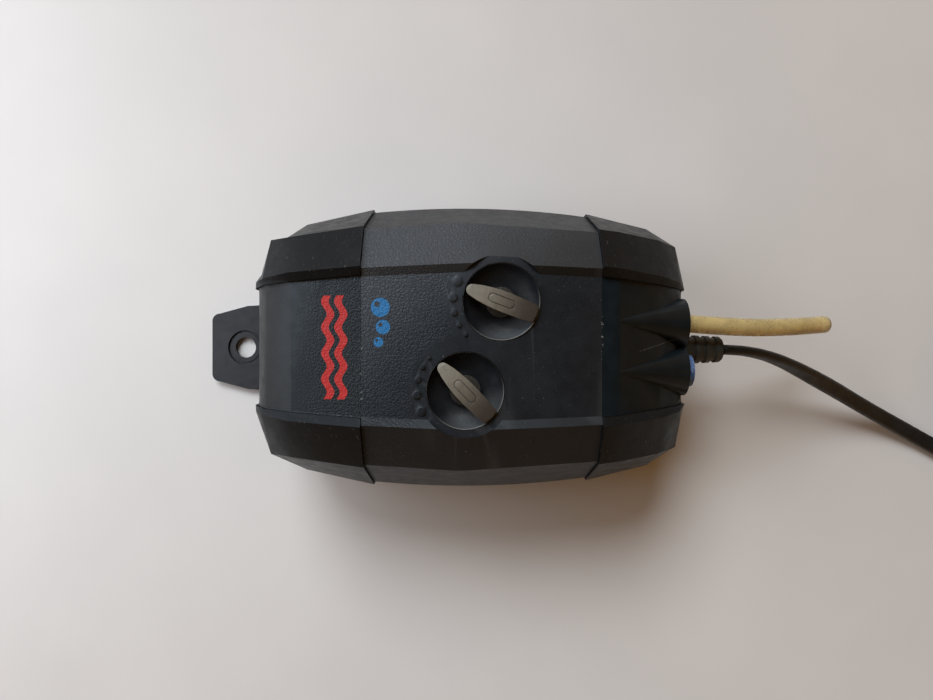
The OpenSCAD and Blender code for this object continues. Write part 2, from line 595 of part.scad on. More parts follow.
module head_cover(side) in_row() color([0.75, 0.75, 0.73]) difference() {
  translate([head_x - 15, side > 0 ? head_y + 6.05 : -head_y - 9.05, motor_z - 14]) cube([30, 3, 26]);
  for (s = [-5, 5]) along_y([head_x + s, side * (head_y + 5), motor_z], side) cylinder(r = 3.6, h = 2.2);
  for (x = [-13, 13], z = [-11, 11]) along_y([head_x + x, 0, motor_z + z], side) cylinder(r = 1.15, h = 60);
}
module valve_flaps() in_row() color([0.55, 0.2, 0.15]) for (side = [1, -1], s = [-5, 5])
  along_y([head_x + s, side * (head_y + 6.1), motor_z], side) cylinder(r = 3.2, h = 0.7);
module head_screws() in_row() color([0.6, 0.6, 0.62]) for (side = [1, -1], x = [-13, 13], z = [-11, 11]) {
  along_y([head_x + x, side * (head_y + 9.1), motor_z + z], side) cylinder(r = 1.8, h = 1.1);
  along_y([head_x + x, side * (head_y + 1), motor_z + z], side) cylinder(r = 0.9, h = 8.2);
}

/* Hoses and wires inside */
hose_d = 6.2;
hose_bore = 4.4;
hose_up = [1, 0, 1];    // never in line with a hose, so that its rings don't flip
module hose(route) {
  n = len(route) - 1;
  longer = concat([route[0] + unit(route[0] - route[1])], [for (i = [1 : n - 1]) route[i]],
    [route[n] + unit(route[n] - route[n - 1])]);
  difference() {
    sweep(route, hose_d, hose_d, up = hose_up);
    sweep(longer, hose_bore, hose_bore, up = hose_up);
  }
}
// From each pump head's barb, up and over to its regulator
feed_routes = [
  [[-10, 34, 41.5], [-10, 34, 47.4], [-10, 32.4, 50.8], [-10, 28.5, 52.8], [-10, 23.5, 52.2],
   [-9.6, 18.6, 50.2],
   [-8, 14.8, 48.5], [-4.4, 13.7, 48], [1.6, 13.7, 48]],
  [[-10, -34, 41.5], [-10, -34, 47.4], [-12, -32.4, 50.8], [-16, -28.8, 52.8], [-20.5, -23.8, 52.2],
   [-22.8, -18.4, 50.2], [-20.6, -14.4, 48.5], [-15.4, -13.4, 48], [-9.4, -13.4, 48]]];
module feed_hoses() in_row() color([0.85, 0.85, 0.8]) for (r = feed_routes) hose(r);
// From each regulator to its nozzle
out_routes = [
  [[16.2, 13.7, 48], [22.4, 13.7, 48], [29, 12.8, 47], [36, 10.6, 44.6], [42, 8.6, 42.6], [48, 8, 42],
   [54.6, 8, 42]],
  [[5.2, -13.4, 48], [11.4, -13.4, 48], [22, -12.8, 47], [33, -10.6, 44.6], [41, -8.6, 42.6], [48, -8, 42],
   [54.6, -8, 42]]];
module outlet_hoses() in_row() color([0.85, 0.85, 0.8]) for (r = out_routes) hose(r);
module terminal_block() in_row() color([0.9, 0.9, 0.88]) difference() {
  translate([54, -8, 6.1]) cube([9, 16, 9]);
  for (y = [-4, 4], x = [56.2, 60.8]) translate([x, y, 9]) cylinder(r = 1.3, h = 9);
}
module terminal_screws() in_row() color([0.75, 0.65, 0.35])
  for (y = [-4, 4], x = [56.2, 60.8]) translate([x, y, 9.1]) cylinder(r = 1.2, h = 4);
inner_route = [[67.4, -0.8, 33], [63.6, -0.8, 32.2], [61, -0.8, 29], [60.4, -0.8, 24], [62, -0.6, 19.5],
  [65.6, -0.4, 16], [66.4, 0, 12.6], [63.1, 0, 11.4]];
module inner_lead() in_row() color([0.06, 0.06, 0.06]) sweep(inner_route, cord_w, cord_t, 8);
module lead_wires() in_row() for (s = [1, -1]) color(s > 0 ? [0.1, 0.25, 0.7] : [0.4, 0.2, 0.1])
  sweep([[53.9, 4 * s, 13.2], [52, 4 * s, 13.4], [46, 4 * s, 14.4], [30, 5 * s, 14.4], [10, 4 * s, 14.2],
    [-12, 4 * s, 14], [-24, 4 * s, 15], [-30, 4 * s, 16.6]], 1.8, 1.8, 8);

base_shell();
centre_cover();
tab_end_cover();
outlet_end_cover();
corner_bumper(-1, 1);  // corner_bumper_1
corner_bumper(-1, -1);  // corner_bumper_2
corner_bumper(1, 1);  // corner_bumper_3
corner_bumper(1, -1);  // corner_bumper_4
dial_cup(1);  // dial_cup_1
dial_cup(2);  // dial_cup_2
control_knob(1);  // control_knob_1
control_knob(2);  // control_knob_2
valve_spindle(1);  // valve_spindle_1
valve_spindle(2);  // valve_spindle_2
spindle_seal(1);  // spindle_seal_1
spindle_seal(2);  // spindle_seal_2
regulator_body(1);  // regulator_body_1
regulator_body(2);  // regulator_body_2
outlet_nozzle(1);  // outlet_nozzle_1
outlet_nozzle(2);  // outlet_nozzle_2
blanking_cap();
airline_tube();
strain_relief();
mains_cord();
cord_coil();
cord_tail();
coil_tie();
mains_plug();
plug_pins();
motor_frame();
rubber_mounts();
magnet_core();
coil_bobbin();
coil_winding();
swing_arm(1);  // swing_arm_1
swing_arm(-1);  // swing_arm_2
arm_magnet(1);  // arm_magnet_1
arm_magnet(-1);  // arm_magnet_2
pivot_pins();
diaphragm(1);  // diaphragm_1
diaphragm(-1);  // diaphragm_2
diaphragm_clamp(1);  // diaphragm_clamp_1
diaphragm_clamp(-1);  // diaphragm_clamp_2
pump_head(1);  // pump_head_1
pump_head(-1);  // pump_head_2
head_cover(1);  // head_cover_1
head_cover(-1);  // head_cover_2
valve_flaps();
feed_hoses();
outlet_hoses();
filter_pad();
filter_cover();
terminal_block();
terminal_screws();
lead_wires();
inner_lead();
case_screws();
head_screws();
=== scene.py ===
"""Looks of a twin-outlet aquarium air pump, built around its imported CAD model. Lengths are metres."""
import json
import math

import bpy
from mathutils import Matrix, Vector


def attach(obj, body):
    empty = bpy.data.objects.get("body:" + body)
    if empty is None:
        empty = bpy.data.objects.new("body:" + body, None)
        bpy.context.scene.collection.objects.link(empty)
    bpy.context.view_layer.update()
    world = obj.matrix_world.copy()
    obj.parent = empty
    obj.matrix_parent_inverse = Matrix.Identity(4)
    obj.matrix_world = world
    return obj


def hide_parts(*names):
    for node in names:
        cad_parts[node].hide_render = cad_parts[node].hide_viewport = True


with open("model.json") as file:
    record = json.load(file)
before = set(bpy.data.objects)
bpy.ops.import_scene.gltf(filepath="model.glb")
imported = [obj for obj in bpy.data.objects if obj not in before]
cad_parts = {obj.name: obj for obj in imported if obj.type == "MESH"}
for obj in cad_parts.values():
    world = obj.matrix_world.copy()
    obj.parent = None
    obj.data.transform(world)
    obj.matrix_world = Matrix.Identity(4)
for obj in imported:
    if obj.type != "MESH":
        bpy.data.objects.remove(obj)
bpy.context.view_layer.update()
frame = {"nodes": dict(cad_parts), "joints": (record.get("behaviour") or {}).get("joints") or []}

MM = 0.001
ROW_X = 14 * MM                 # the casing's own middle lies this far along +X in the row frame
NODES = frame["nodes"]
JOINTS = {joint["name"]: joint for joint in frame["joints"]}
UP = Vector((0, 0, 1))


def at(x, y, z):
    """A point given in the casing's own millimetres, in the row frame."""
    return Vector((x * MM + ROW_X, y * MM, z * MM))


# ---------------------------------------------------------------- node graphs
class Graph:
    """A short way to write a procedural material."""

    def __init__(self, name):
        self.material = bpy.data.materials.new(name)
        self.material.use_nodes = True
        self.tree = self.material.node_tree
        self.shader = self.tree.nodes["Principled BSDF"]
        self.where = self.add("ShaderNodeTexCoord").outputs["Object"]

    def add(self, kind, **settings):
        node = self.tree.nodes.new(kind)
        for key, value in settings.items():
            setattr(node, key, value)
        return node

    def put(self, socket, value):
        if isinstance(value, bpy.types.NodeSocket):
            self.tree.links.new(value, socket)
        elif isinstance(value, tuple) and len(value) == 3 and socket.type == "RGBA":
            socket.default_value = (*value, 1)
        else:
            socket.default_value = value

    def math(self, operation, a, b=0.0, c=0.0):
        node = self.add("ShaderNodeMath", operation=operation)
        for socket, value in zip(node.inputs, (a, b, c)):
            self.put(socket, value)
        return node.outputs[0]

    def noise(self, size, detail=3.0, roughness=0.55, stretch=(1, 1, 1), distortion=0.0):
        """Noise from 0 to 1 whose blobs are about size metres across."""
        place = self.add("ShaderNodeMapping")
        self.put(place.inputs["Vector"], self.where)
        self.put(place.inputs["Scale"], Vector(stretch))
        node = self.add("ShaderNodeTexNoise")
        self.put(node.inputs["Vector"], place.outputs[0])
        self.put(node.inputs["Scale"], 1 / size)
        self.put(node.inputs["Detail"], detail)
        self.put(node.inputs["Roughness"], roughness)
        self.put(node.inputs["Distortion"], distortion)
        return node.outputs["Fac"]

    def cells(self, size, wobble):
        """Crooked cells about size metres across; the value grows inwards from each one's edge."""
        warp = self.add("ShaderNodeTexNoise")
        self.put(warp.inputs["Vector"], self.where)
        self.put(warp.inputs["Scale"], 0.6 / size)
        place = self.add("ShaderNodeVectorMath", operation="MULTIPLY_ADD")
        self.put(place.inputs[0], warp.outputs["Color"])
        self.put(place.inputs[1], Vector((wobble * size,) * 3))
        self.put(place.inputs[2], self.where)
        node = self.add("ShaderNodeTexVoronoi", feature="DISTANCE_TO_EDGE")
        self.put(node.inputs["Vector"], place.outputs[0])
        self.put(node.inputs["Scale"], 1 / size)
        return node.outputs["Distance"]

    def ramp(self, value, low, high, out_low=0.0, out_high=1.0):
        """A smooth step of value between low and high."""
        node = self.add("ShaderNodeMapRange", interpolation_type="SMOOTHSTEP")
        for socket, v in zip(node.inputs, (value, low, high, out_low, out_high)):
            self.put(socket, v)
        return node.outputs[0]

    def mix(self, share, a, b):
        node = self.add("ShaderNodeMix", data_type="RGBA")
        self.put(node.inputs["Factor"], share)
        colours = [s for s in node.inputs if s.type == "RGBA"]
        self.put(colours[0], a)
        self.put(colours[1], b)
        return [s for s in node.outputs if s.type == "RGBA"][0]

    def axis(self, index):
        node = self.add("ShaderNodeSeparateXYZ")
        self.put(node.inputs[0], self.where)
        return node.outputs[index]

    def edges(self, low=0.52, high=0.62):
        """1 along outer edges, where handling wears a piece."""
        pointed = self.add("ShaderNodeNewGeometry").outputs["Pointiness"]
        return self.ramp(pointed, low, high)

    def facing_up(self):
        node = self.add("ShaderNodeSeparateXYZ")
        self.put(node.inputs[0], self.add("ShaderNodeNewGeometry").outputs["Normal"])
        return self.ramp(node.outputs[2], 0.35, 0.95)

    def bump(self, height, depth, under=None):
        node = self.add("ShaderNodeBump")
        self.put(node.inputs["Height"], height)
        self.put(node.inputs["Distance"], depth)
        if under is not None:
            self.put(node.inputs["Normal"], under)
        return node.outputs[0]

    def finish(self, **values):
        for name, value in values.items():
            self.put(self.shader.inputs[name.replace("_", " ")], value)
        return self.material


def shade(rgb):
    """An sRGB colour, 0 to 255, as the linear one that a shader takes."""
    return tuple(v / 12.92 if v <= 0.04045 else ((v + 0.055) / 1.055) ** 2.4 for v in (c / 255 for c in rgb))


def lighter(rgb, by):
    return tuple(min(1.0, c * by) for c in rgb)


def scratches(g, size, low, high, stretch):
    """Sparse fine lines, 1 on a line; they run across the axis that is stretched most."""
    return g.ramp(g.noise(size, 2.0, 0.4, stretch=stretch), low, high)


# ---------------------------------------------------------------- materials
COOL_SHEEN = (0.72, 0.86, 1.0)    # the dark plastics reflect slightly blue
# The two seams between the casing's sections: x, then the nicked stretch's middle y and half its run
TAB_SEAM = (-34, -9, 14)
OUTLET_SEAM = (40, 4, 9)
# Where each pointer aims at rest, in degrees from +X
POINTER_1_DEGREES, POINTER_2_DEGREES = 158.9, 134


def moulded(name, rgb, rough, grain=0.35 * MM, grain_depth=0.02 * MM, dust=0.12, mottle=0.18, wear=0.25):
    """Plain moulded plastic: mottled, faintly dusty, lighter where its edges have worn."""
    g = Graph(name)
    base = shade(rgb)
    patches = g.ramp(g.noise(9 * MM, 4.0), 0.3, 0.7)
    patchy = g.mix(patches, lighter(base, 1 - mottle), lighter(base, 1 + mottle))
    worn = g.math("MULTIPLY", g.edges(), wear)
    colour = g.mix(worn, patchy, lighter(base, 2.2))
    specks = g.math("MULTIPLY", g.ramp(g.noise(0.7 * MM, 2.0), 0.66, 0.74), dust)
    colour = g.mix(specks, colour, shade((150, 146, 138)))
    roughness = g.ramp(g.noise(3 * MM, 5.0), 0.25, 0.75, rough - 0.07, rough + 0.09)
    skin = g.bump(g.noise(grain, 3.0), grain_depth)
    return g.finish(Base_Color=colour, Roughness=roughness, Normal=skin, Specular_IOR_Level=0.5)


def rubber(name, rgb, rough=0.42):
    """Black moulded rubber: satin, with finger marks, a trace of bloom and small scuffs."""
    g = Graph(name)
    base = shade(rgb)
    bloom = g.ramp(g.noise(14 * MM, 3.0, 0.6), 0.35, 0.75)
    colour = g.mix(bloom, base, lighter(base, 1.5))
    lint = g.math("MULTIPLY", g.ramp(g.noise(0.5 * MM, 1.0), 0.72, 0.78), 0.35)
    colour = g.mix(lint, colour, shade((120, 118, 112)))
    scuffs = g.math("MULTIPLY", scratches(g, 1.2 * MM, 0.7, 0.76, (3, 0.5, 1)), 0.25)
    colour = g.mix(scuffs, colour, shade((140, 138, 132)))
    roughness = g.ramp(g.noise(5 * MM, 5.0, 0.65), 0.3, 0.7, rough - 0.05, rough + 0.08)
    skin = g.bump(g.noise(0.28 * MM, 3.0), 0.012 * MM, g.bump(g.noise(9 * MM, 2.0), 0.08 * MM))
    return g.finish(Base_Color=colour, Roughness=roughness, Normal=skin, Specular_IOR_Level=0.22,
                    Specular_Tint=COOL_SHEEN)


def seam_nicks(g, x, y, seam):
    """Pale nicks along part of a seam's edge, where the sections have been prised apart."""
    seam_x, middle_y, half_run = seam
    off = g.math("ABSOLUTE", g.math("SUBTRACT", x, at(seam_x, 0, 0).x))
    line = g.ramp(off, 0.12 * MM, 0.5 * MM, 1.0, 0.0)
    broken = g.ramp(g.noise(1.1 * MM, 4.0, 0.7, stretch=(0.6, 1, 1)), 0.56, 0.63)
    along = g.math("ABSOLUTE", g.math("SUBTRACT", y, middle_y * MM))
    inside = g.ramp(along, 0.4 * half_run * MM, half_run * MM, 1.0, 0.0)
    return g.math("MULTIPLY", g.math("MULTIPLY", line, broken), inside)


def grained_casing(name):
    """The centre section: anthracite plastic with a leather grain, deepest at the tab's upper end, and a
    painted highlight.
    """
    g = Graph(name)
    x, y = g.axis(0), g.axis(1)
    base, light, dark = shade((23, 25, 29)), shade((66, 70, 77)), shade((16, 17, 19))
    towards_tab_and_rear = g.math("MULTIPLY_ADD", x, -11.0, g.math("MULTIPLY", y, 8.0))
    strength = g.ramp(towards_tab_and_rear, -0.6, 0.55, 0.1, 1.0)
    for dial in (JOINTS["dial_1_turn"], JOINTS["dial_2_turn"]):
        strength = g.math("MULTIPLY", strength, outside(g, x, y, Vector(dial["pos_m"])))
    pores = g.ramp(g.cells(1.1 * MM, wobble=0.9), 0.0, 0.26)
    wrinkles = g.ramp(g.noise(0.9 * MM, 4.0, 0.6, distortion=0.8), 0.35, 0.7)
    # Painted highlight: up-facing surfaces lighten towards -X and +Y, the side the lamps shine from
    wear_and_painted_sheen = g.ramp(g.math("MULTIPLY_ADD", x, -9.0, g.math("MULTIPLY", y, 13.0)), -0.1, 0.5)
    colour = g.mix(g.math("MULTIPLY", wear_and_painted_sheen, g.facing_up()), base, light)
    colour = g.mix(g.math("MULTIPLY", g.ramp(g.noise(16 * MM, 4.0), 0.3, 0.7), 0.1), colour, light)
    hollows = g.math("MULTIPLY", g.math("SUBTRACT", 1.0, pores), g.math("MULTIPLY", strength, 0.4))
    colour = g.mix(hollows, colour, dark)
    colour = g.mix(g.math("MULTIPLY", g.edges(0.53, 0.6), 0.12), colour, shade((96, 98, 100)))
    lint = g.math("MULTIPLY", g.ramp(g.noise(0.55 * MM, 1.0), 0.745, 0.79), 0.35)
    colour = g.mix(lint, colour, shade((150, 148, 143)))
    nicks = g.math("MAXIMUM", seam_nicks(g, x, y, OUTLET_SEAM), seam_nicks(g, x, y, TAB_SEAM))
    colour = g.mix(g.math("MULTIPLY", nicks, 0.55), colour, shade((176, 174, 170)))
    blue = g.math("MULTIPLY", bubble_mark(g, x, y), g.facing_up())
    colour = g.mix(g.math("MULTIPLY", blue, 0.92), colour, shade((38, 112, 172)))
    roughness = g.ramp(g.noise(4 * MM, 5.0), 0.25, 0.75, 0.45, 0.54)
    relief = g.math("SUBTRACT", g.math("MULTIPLY_ADD", wrinkles, 0.5, pores), 1.15)
    height = g.math("MULTIPLY", relief, strength)
    skin = g.bump(height, 0.11 * MM, g.bump(g.noise(0.3 * MM, 3.0), 0.012 * MM))
    return g.finish(Base_Color=colour, Roughness=roughness, Normal=skin, Specular_IOR_Level=0.36,
                    Specular_Tint=COOL_SHEEN)


def away_from(g, x, y, centre):
    """Distance from a point in plan."""
    return g.math("SQRT", g.math("ADD", g.math("POWER", g.math("SUBTRACT", x, centre.x), 2.0),
                                 g.math("POWER", g.math("SUBTRACT", y, centre.y), 2.0)))


def outside(g, x, y, centre):
    """1 well away from a dial, less where its ring of dots stands, so that they stay crisp."""
    return g.ramp(away_from(g, x, y, centre), 16 * MM, 19 * MM, 0.22, 1.0)


def disc(g, x, y, centre, radius):
    """1 inside a circle round centre."""
    return g.ramp(away_from(g, x, y, centre), radius - 0.08 * MM, radius + 0.08 * MM, 1.0, 0.0)


# The printed marks in plan, in the casing's millimetres: each bubble's x, y and radius, then the waves
BUBBLES = ((-28.6, 1.4, 1.5), (-27.2, 6, 2.2), (-28, 12, 2.9))
WAVE_LINES_X = (-44.6, -40.4)
WAVE_LENGTH, WAVE_SWING, WAVE_HALF_WIDTH = 8, 0.9, 1.15
WAVES_MIDDLE_Y, WAVES_HALF_RUN = -0.2, 15.9
PRINT_BLUR = 0.15


def bubble_mark(g, x, y):
    """A plain printed row of three rising bubbles, each with a glint, beside the tab's seam."""
    mark = 0.0
    for bubble_x, bubble_y, radius in BUBBLES:
        middle = at(bubble_x, bubble_y, 0)
        glint = at(bubble_x - 0.35 * radius, bubble_y + 0.35 * radius, 0)
        round_spot = disc(g, x, y, middle, radius * MM)
        bubble = g.math("SUBTRACT", round_spot, disc(g, x, y, glint, 0.3 * radius * MM))
        mark = g.math("MAXIMUM", mark, bubble)
    return mark


def wave_mark(g, x, y):
    """Two bold printed wavy lines running across the tab's end section."""
    wave = g.math("SINE", g.math("MULTIPLY", y, 2 * math.pi / (WAVE_LENGTH * MM)))
    swing = g.math("MULTIPLY", wave, WAVE_SWING * MM)
    mark = 0.0
    for line_x in WAVE_LINES_X:
        off = g.math("ABSOLUTE", g.math("SUBTRACT", g.math("SUBTRACT", x, at(line_x, 0, 0).x), swing))
        line = g.ramp(off, WAVE_HALF_WIDTH * MM, (WAVE_HALF_WIDTH + PRINT_BLUR) * MM, 1.0, 0.0)
        mark = g.math("MAXIMUM", mark, line)
    along = g.math("ABSOLUTE", g.math("SUBTRACT", y, WAVES_MIDDLE_Y * MM))
    ends = g.ramp(along, WAVES_HALF_RUN * MM, (WAVES_HALF_RUN + 0.2) * MM, 1.0, 0.0)
    return g.math("MULTIPLY", mark, ends)


def end_casing(name):
    """The tab's end section: dark grey, lightly grained near its seam, with the red wave print."""
    g = Graph(name)
    x, y = g.axis(0), g.axis(1)
    base = shade((27, 29, 31))
    colour = g.mix(g.ramp(g.noise(12 * MM, 4.0), 0.3, 0.7), lighter(base, 0.88), lighter(base, 1.15))
    grain = g.ramp(x, at(-60, 0, 0).x, at(-42, 0, 0).x, 0.08, 0.8)
    pores = g.ramp(g.cells(1.05 * MM, wobble=0.9), 0.0, 0.26)
    dents = g.math("MULTIPLY", g.math("SUBTRACT", 1.0, pores), grain)
    colour = g.mix(g.math("MULTIPLY", dents, 0.35), colour, shade((19, 20, 21)))
    lint = g.math("MULTIPLY", g.ramp(g.noise(0.55 * MM, 1.0), 0.74, 0.79), 0.35)
    colour = g.mix(lint, colour, shade((140, 138, 133)))
    nicks = seam_nicks(g, x, y, TAB_SEAM)
    colour = g.mix(g.math("MULTIPLY", nicks, 0.5), colour, shade((160, 158, 154)))
    red = g.math("MULTIPLY", wave_mark(g, x, y), g.facing_up())
    colour = g.mix(g.math("MULTIPLY", red, 0.96), colour, shade((178, 40, 34)))
    roughness = g.ramp(g.noise(4 * MM, 5.0), 0.25, 0.75, 0.36, 0.5)
    skin = g.bump(g.math("MULTIPLY", pores, grain), 0.09 * MM, g.bump(g.noise(0.3 * MM, 2.0), 0.01 * MM))
    return g.finish(Base_Color=colour, Roughness=roughness, Normal=skin, Specular_IOR_Level=0.28,
                    Specular_Tint=COOL_SHEEN)


def outlet_casing(name):
    """The outlets' end section: near black and smooth, with scuffs and one long pale scratch."""
    g = Graph(name)
    x, y = g.axis(0), g.axis(1)
    base = shade((15, 23, 28))
    colour = g.mix(g.ramp(g.noise(10 * MM, 4.0), 0.3, 0.7), lighter(base, 0.85), lighter(base, 1.3))
    start, end = at(52.6, -1.6, 0), at(67.4, 2.6, 0)
    run, rise = end.x - start.x, end.y - start.y
    along = g.math("DIVIDE", g.math("SUBTRACT", x, start.x), run)
    line_y = g.math("MULTIPLY_ADD", along, rise, start.y)
    off = g.math("ABSOLUTE", g.math("SUBTRACT", y, line_y))
    inside = g.math("MULTIPLY", g.ramp(along, 0.0, 0.08), g.ramp(along, 0.92, 1.0, 1.0, 0.0))
    scratch = g.math("MULTIPLY", g.ramp(off, 0.08 * MM, 0.2 * MM, 1.0, 0.0), inside)
    broken = g.ramp(g.noise(0.8 * MM, 3.0), 0.35, 0.6)
    scratch = g.math("MULTIPLY", g.math("MULTIPLY", scratch, broken), 0.5)
    colour = g.mix(scratch, colour, shade((120, 120, 119)))
    scuffs = g.math("MULTIPLY", g.ramp(g.noise(1.4 * MM, 5.0, 0.7), 0.7, 0.74), 0.4)
    colour = g.mix(g.math("MULTIPLY", scuffs, g.ramp(x, at(55, 0, 0).x, at(66, 0, 0).x)), colour,
                   shade((110, 108, 103)))
    nicks = seam_nicks(g, x, y, OUTLET_SEAM)
    colour = g.mix(g.math("MULTIPLY", nicks, 0.55), colour, shade((176, 174, 170)))
    roughness = g.ramp(g.noise(4 * MM, 5.0), 0.25, 0.75, 0.36, 0.5)
    skin = g.bump(g.noise(0.35 * MM, 3.0), 0.014 * MM)
    return g.finish(Base_Color=colour, Roughness=roughness, Normal=skin, Specular_IOR_Level=0.26,
                    Specular_Tint=COOL_SHEEN)


def polished_dish_painted_reflection(name, joint):
    """A dial's dish: satin black with dust and hairline scratches, with a painted reflection where its rear
    wall rises and a painted highlight on that side of its rim.
    """
    g = Graph(name)
    base = shade((26, 29, 34))
    hub = Vector(joint["pos_m"])
    east = g.math("SUBTRACT", g.axis(0), hub.x)
    north = g.math("SUBTRACT", g.axis(1), hub.y)
    colour = g.mix(g.ramp(g.noise(6 * MM, 3.0), 0.35, 0.7), base, lighter(base, 1.3))
    # Painted reflection: the rear wall, towards +X and -Y, is lightened as if it mirrored the lamps
    outward = g.math("SUBTRACT", g.math("MULTIPLY", east, 0.45), g.math("MULTIPLY", north, 0.9))
    wear_and_painted_sheen = g.math("MULTIPLY", g.ramp(outward, 2.5 * MM, 10 * MM), 0.75)
    colour = g.mix(wear_and_painted_sheen, colour, shade((84, 88, 92)))
    # Painted highlight along the rim on the same side
    rim = g.math("MULTIPLY", g.ramp(g.axis(2), 66.3 * MM, 66.8 * MM), g.ramp(outward, 0.0, 8 * MM))
    colour = g.mix(g.math("MULTIPLY", rim, 0.6), colour, shade((128, 132, 134)))
    dust = g.math("MULTIPLY", g.ramp(g.noise(0.45 * MM, 2.0), 0.69, 0.76), 0.22)
    colour = g.mix(dust, colour, shade((120, 117, 110)))
    hair = g.math("MULTIPLY", scratches(g, 0.7 * MM, 0.72, 0.76, (0.25, 5, 1)), 0.2)
    colour = g.mix(hair, colour, shade((100, 100, 100)))
    roughness = g.ramp(g.noise(3 * MM, 5.0), 0.3, 0.75, 0.26, 0.4)
    skin = g.bump(g.noise(0.5 * MM, 2.0), 0.004 * MM)
    return g.finish(Base_Color=colour, Roughness=roughness, Normal=skin, Specular_IOR_Level=0.55)


def worn_handle(name, joint, degrees):
    """A pointer: dark plastic worn to a warm speckled grey at its tip, darker at its wide rear end, with
    painted shade on its lower parts.
    """
    g = Graph(name)
    hub = Vector(joint["pos_m"])
    turn = math.radians(degrees)
    forward = g.math("ADD", g.math("MULTIPLY", g.math("SUBTRACT", g.axis(0), hub.x), math.cos(turn)),
                     g.math("MULTIPLY", g.math("SUBTRACT", g.axis(1), hub.y), math.sin(turn)))
    # Wear: the tip is worn lighter than the wide rear end
    wear_and_painted_sheen = g.ramp(forward, -10 * MM, 7 * MM)
    colour = g.mix(wear_and_painted_sheen, shade((64, 60, 56)), shade((116, 112, 102)))
    blotch = g.ramp(g.noise(1.6 * MM, 6.0, 0.7), 0.45, 0.7)
    colour = g.mix(g.math("MULTIPLY", blotch, 0.3), colour, shade((64, 60, 56)))
    speck = g.ramp(g.noise(0.4 * MM, 3.0, 0.6), 0.62, 0.72)
    colour = g.mix(g.math("MULTIPLY", g.math("MULTIPLY", speck, wear_and_painted_sheen), 0.4), colour, shade((52, 50, 46)))
    pale = g.ramp(g.noise(0.5 * MM, 3.0, 0.6), 0.68, 0.76)
    colour = g.mix(g.math("MULTIPLY", g.math("MULTIPLY", pale, wear_and_painted_sheen), 0.35), colour, shade((158, 154, 142)))
    # Painted shade: the pointer darkens below its top towards the hub, which sits low in the dish
    low = g.ramp(g.axis(2), 65 * MM, 68.4 * MM, 0.82, 0.0)
    colour = g.mix(low, colour, shade((30, 28, 27)))
    roughness = g.ramp(g.noise(1.5 * MM, 5.0), 0.3, 0.7, 0.36, 0.52)
    skin = g.bump(g.noise(0.4 * MM, 4.0, 0.6), 0.012 * MM)
    return g.finish(Base_Color=colour, Roughness=roughness, Normal=skin, Specular_IOR_Level=0.45)


def sheath(name, rgb, rough=0.4):
    """PVC cord covering: satin black, faintly streaked, with lint and handling marks."""
    g = Graph(name)
    base = shade(rgb)
    colour = g.mix(g.ramp(g.noise(7 * MM, 4.0), 0.35, 0.7), base, lighter(base, 1.5))
    lint = g.math("MULTIPLY", g.ramp(g.noise(0.45 * MM, 2.0), 0.71, 0.77), 0.5)
    colour = g.mix(lint, colour, shade((132, 128, 120)))
    roughness = g.ramp(g.noise(2.5 * MM, 4.0), 0.3, 0.7, rough - 0.08, rough + 0.14)
    skin = g.bump(g.noise(0.3 * MM, 2.0), 0.01 * MM, g.bump(g.noise(5 * MM, 2.0), 0.1 * MM))
    return g.finish(Base_Color=colour, Roughness=roughness, Normal=skin, Specular_IOR_Level=0.45)


def silicone(name, rgb, clear):
    """Soft tubing: cloudy and see-through, yellowed in patches, with a few scuffs."""
    g = Graph(name)
    base = shade(rgb)
    colour = g.mix(g.ramp(g.noise(6 * MM, 3.0), 0.3, 0.7), base, lighter(base, 1.3))
    specks = g.math("MULTIPLY", g.ramp(g.noise(0.6 * MM, 2.0), 0.72, 0.79), 0.08)
    colour = g.mix(specks, colour, shade((96, 84, 56)))
    roughness = g.ramp(g.noise(2 * MM, 4.0), 0.3, 0.7, 0.24, 0.42)
    skin = g.bump(g.noise(2 * MM, 2.0), 0.01 * MM)
    return g.finish(Base_Color=colour, Roughness=roughness, Normal=skin, Transmission_Weight=clear, IOR=1.41)


def blue_cap(name):
    """The blanking cap: soft blue rubber with pale scuffs round its rim."""
    g = Graph(name)
    base = shade((62, 96, 146))
    colour = g.mix(g.ramp(g.noise(3 * MM, 4.0), 0.35, 0.7), lighter(base, 0.75), lighter(base, 1.3))
    chipped = g.ramp(g.noise(1.3 * MM, 5.0, 0.7), 0.56, 0.64)
    colour = g.mix(g.math("MULTIPLY", chipped, 0.75), colour, shade((172, 178, 190)))
    roughness = g.ramp(g.noise(1.5 * MM, 4.0), 0.3, 0.7, 0.38, 0.62)
    skin = g.bump(g.noise(0.8 * MM, 4.0, 0.6), 0.05 * MM)
    return g.finish(Base_Color=colour, Roughness=roughness, Normal=skin)


def metal(name, rgb, rough, line=(1, 1, 1)):
    """Bare metal: brushed or rolled, with duller stains."""
    g = Graph(name)
    base = shade(rgb)
    stains = g.math("MULTIPLY", g.ramp(g.noise(2.5 * MM, 5.0, 0.65), 0.4, 0.75), 0.25)
    colour = g.mix(stains, base, lighter(base, 0.35))
    roughness = g.ramp(g.noise(1.2 * MM, 4.0), 0.3, 0.75, rough - 0.1, rough + 0.15)
    skin = g.bump(g.noise(0.4 * MM, 3.0, 0.6, stretch=line), 0.012 * MM)
    return g.finish(Base_Color=colour, Roughness=roughness, Normal=skin, Metallic=1.0)


